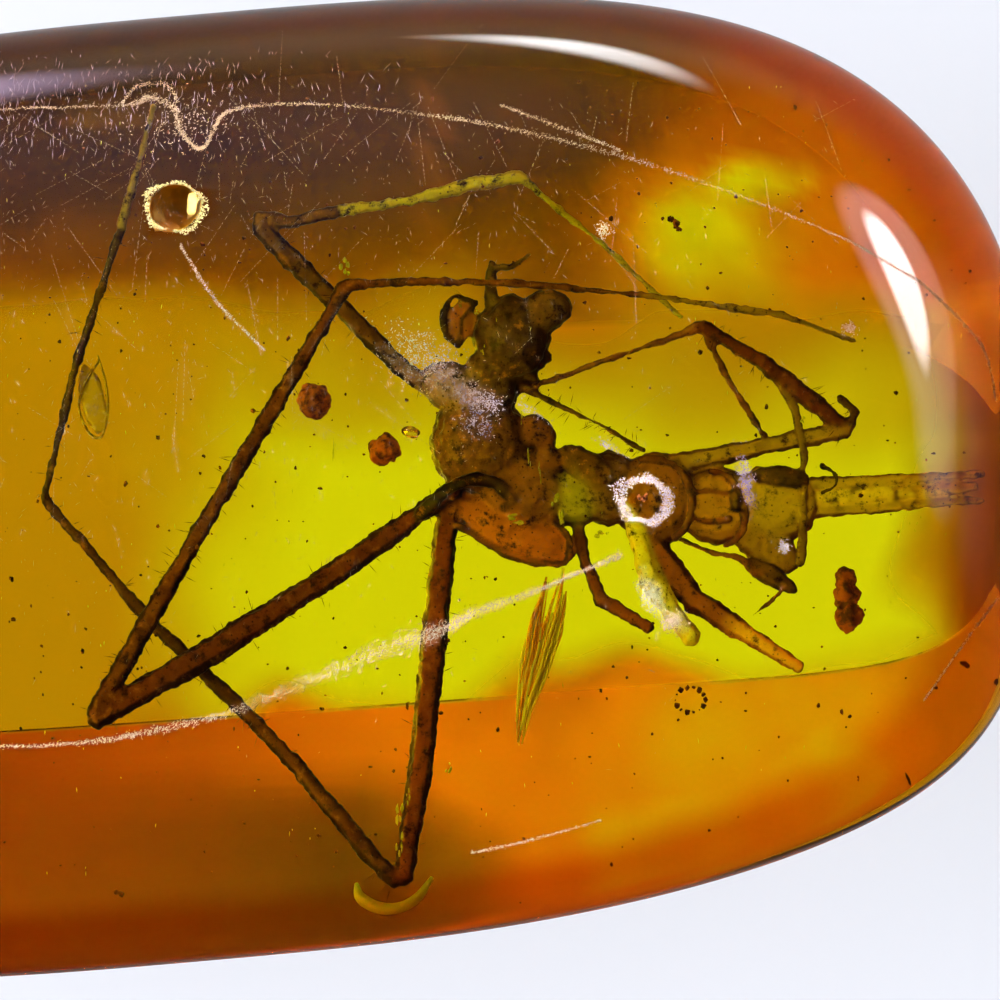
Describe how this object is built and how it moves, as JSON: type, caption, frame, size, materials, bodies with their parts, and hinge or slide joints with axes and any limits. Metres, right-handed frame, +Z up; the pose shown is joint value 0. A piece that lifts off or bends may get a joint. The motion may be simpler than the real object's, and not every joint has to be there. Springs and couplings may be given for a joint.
{
  "type": "amber nugget with enclosed insect",
  "caption": "Long polished nugget of clear golden amber, domed on top and flat below, with a long-legged insect, a plant sliver and small crumbs sealed inside.",
  "frame": {"origin": "middle of the flat face that the nugget lies on, under the middle of its box", "axes": "+X along the nugget towards the insect's tail, +Y across it towards the insect's head, +Z up through the dome"},
  "size_m": [0.0418, 0.0248, 0.0125],
  "materials": {
    "amber": "polished clear resin, paler in the dome, orange-brown towards the girdle and the sloping underside",
    "insect_cuticle": "dark brown cuticle, lighter and see-through brown on the thin limbs",
    "plant_fibre": "golden fibrous strip",
    "pellet_resin": "dull orange-brown",
    "bark": "rough dark brown"
  },
  "bodies": {
    "root": {"amber_upper_half": "amber", "amber_lower_half": "amber", "insect": "insect_cuticle", "plant_sliver": "plant_fibre", "pellet_round": "pellet_resin", "pellet_small": "pellet_resin", "bark_crumb": "bark"}
  },
  "joints": []
}
